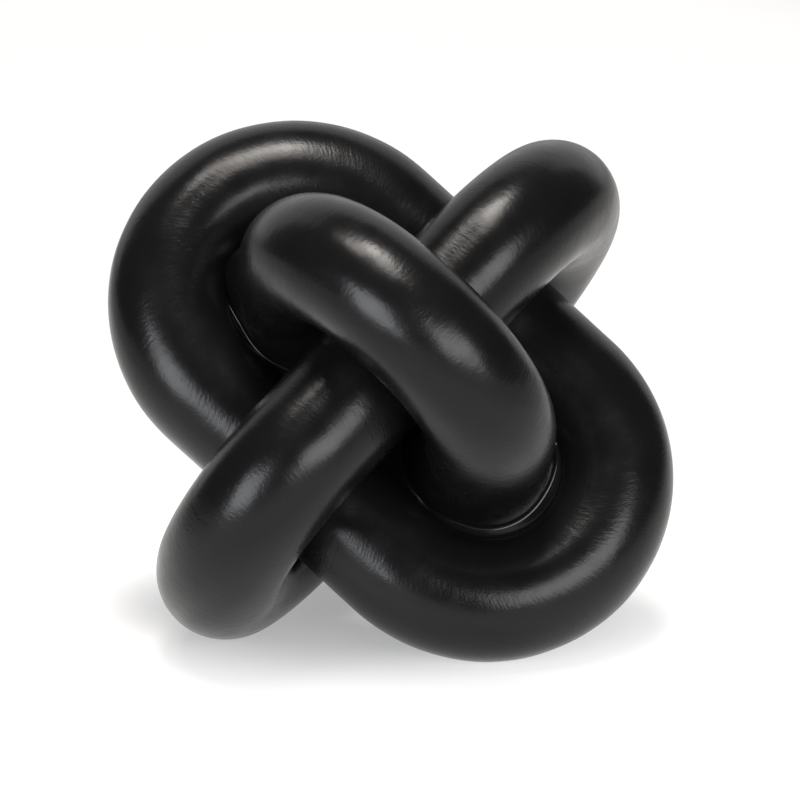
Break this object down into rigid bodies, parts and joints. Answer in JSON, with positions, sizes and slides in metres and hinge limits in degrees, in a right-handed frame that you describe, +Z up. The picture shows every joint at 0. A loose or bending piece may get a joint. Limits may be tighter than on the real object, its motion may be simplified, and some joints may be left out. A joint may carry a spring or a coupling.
{
  "type": "metal knot sculpture",
  "caption": "Desk ornament: interlocked racetrack rings of thick round bar in satin black metal, each ring nested in the ends of the next, standing on ring ends.",
  "frame": {"origin": "middle of the knot's outline, on the table top that its three foot flats stand on", "axes": "+Z up, -Y towards the viewer of the picture, +X to the viewer's right"},
  "size_m": [0.113, 0.1126, 0.0976],
  "materials": {
    "black_coat": "satin black stoving enamel over fettled sand-cast aluminium",
    "bead_filler": "metal-filled epoxy bead, rubbed down and coated with the rings",
    "dowel_steel": "ground steel dowel pin"
  },
  "bodies": {
    "root": {"arch_ring_first_leg_dowel": "dowel_steel", "arch_ring_lower_front_bead": "bead_filler", "arch_ring_lower_half": "black_coat", "arch_ring_lower_rear_bead": "bead_filler", "arch_ring_second_leg_dowel": "dowel_steel", "arch_ring_upper_front_bead": "bead_filler", "arch_ring_upper_half": "black_coat", "arch_ring_upper_rear_bead": "bead_filler", "face_ring_first_leg_dowel": "dowel_steel", "face_ring_lower_front_bead": "bead_filler", "face_ring_lower_half": "black_coat", "face_ring_lower_rear_bead": "bead_filler", "face_ring_second_leg_dowel": "dowel_steel", "face_ring_upper_front_bead": "bead_filler", "face_ring_upper_half": "black_coat", "face_ring_upper_rear_bead": "bead_filler", "side_ring_first_leg_dowel": "dowel_steel", "side_ring_lower_front_bead": "bead_filler", "side_ring_lower_half": "black_coat", "side_ring_lower_rear_bead": "bead_filler", "side_ring_second_leg_dowel": "dowel_steel", "side_ring_upper_front_bead": "bead_filler", "side_ring_upper_half": "black_coat", "side_ring_upper_rear_bead": "bead_filler"}
  },
  "joints": []
}
